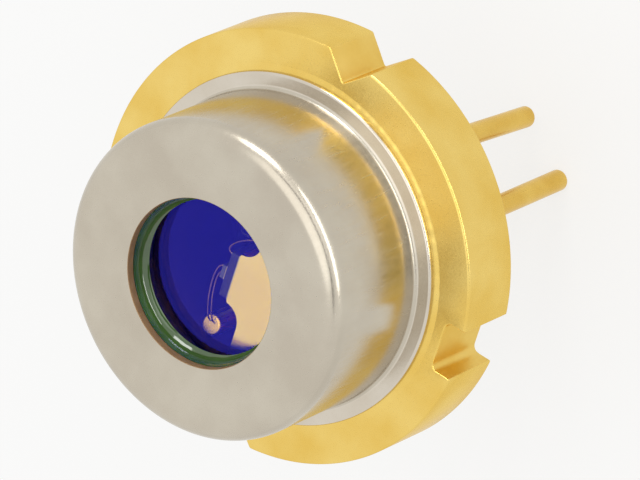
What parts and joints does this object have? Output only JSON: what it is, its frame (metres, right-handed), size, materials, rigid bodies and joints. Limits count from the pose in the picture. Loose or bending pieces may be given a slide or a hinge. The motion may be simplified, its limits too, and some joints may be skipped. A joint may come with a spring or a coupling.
{
  "type": "laser diode",
  "caption": "Laser diode in a nine millimetre metal can: gold-plated stem with notches, nickel cap with a coated window, and wire leads behind.",
  "frame": {"origin": "centre of the stem's front face, the reference face that a housing seats on", "axes": "+Z is the optical axis, the way the light leaves through the window; the leads point along -Z; -Y is the side with the square key notch; the two V notches are on +X and -X"},
  "size_m": [0.009, 0.009, 0.0111],
  "materials": {
    "gold_plated_steel": "satin gold plate",
    "gold_plated_copper": "fine gold plate",
    "silver_copper_braze": "satin",
    "gold_plated_lead_wire": "drawn wire, gold plate",
    "gold_plated_braze": "gold plate over braze",
    "sealing_glass": "fused glass",
    "nickel_plated_steel": "satin nickel plate",
    "coated_window_glass": "anti-reflection coated",
    "solder_glass": "fused glass",
    "metallised_ceramic": "gold film on aluminium nitride",
    "gold_tin_solder": "satin",
    "laser_crystal": "gold film on polished crystal",
    "silicon_photodiode": "polished, nitride film",
    "silver_epoxy": "satin",
    "gold_bond_wire": "drawn gold"
  },
  "bodies": {
    "root": {"stem": "gold_plated_steel", "heat_sink": "gold_plated_copper", "heat_sink_braze": "silver_copper_braze", "lead_laser": "gold_plated_lead_wire", "lead_photodiode": "gold_plated_lead_wire", "lead_case": "gold_plated_lead_wire", "case_lead_braze": "gold_plated_braze", "glass_seal_laser": "sealing_glass", "glass_seal_photodiode": "sealing_glass", "cap": "nickel_plated_steel", "window_glass": "coated_window_glass", "window_frit": "solder_glass", "submount": "metallised_ceramic", "submount_solder": "gold_tin_solder", "laser_chip": "laser_crystal", "chip_solder": "gold_tin_solder", "photodiode": "silicon_photodiode", "photodiode_solder": "silver_epoxy", "laser_wire_1": "gold_bond_wire", "laser_wire_2": "gold_bond_wire", "ground_wire": "gold_bond_wire", "photodiode_wire": "gold_bond_wire"}
  },
  "joints": []
}
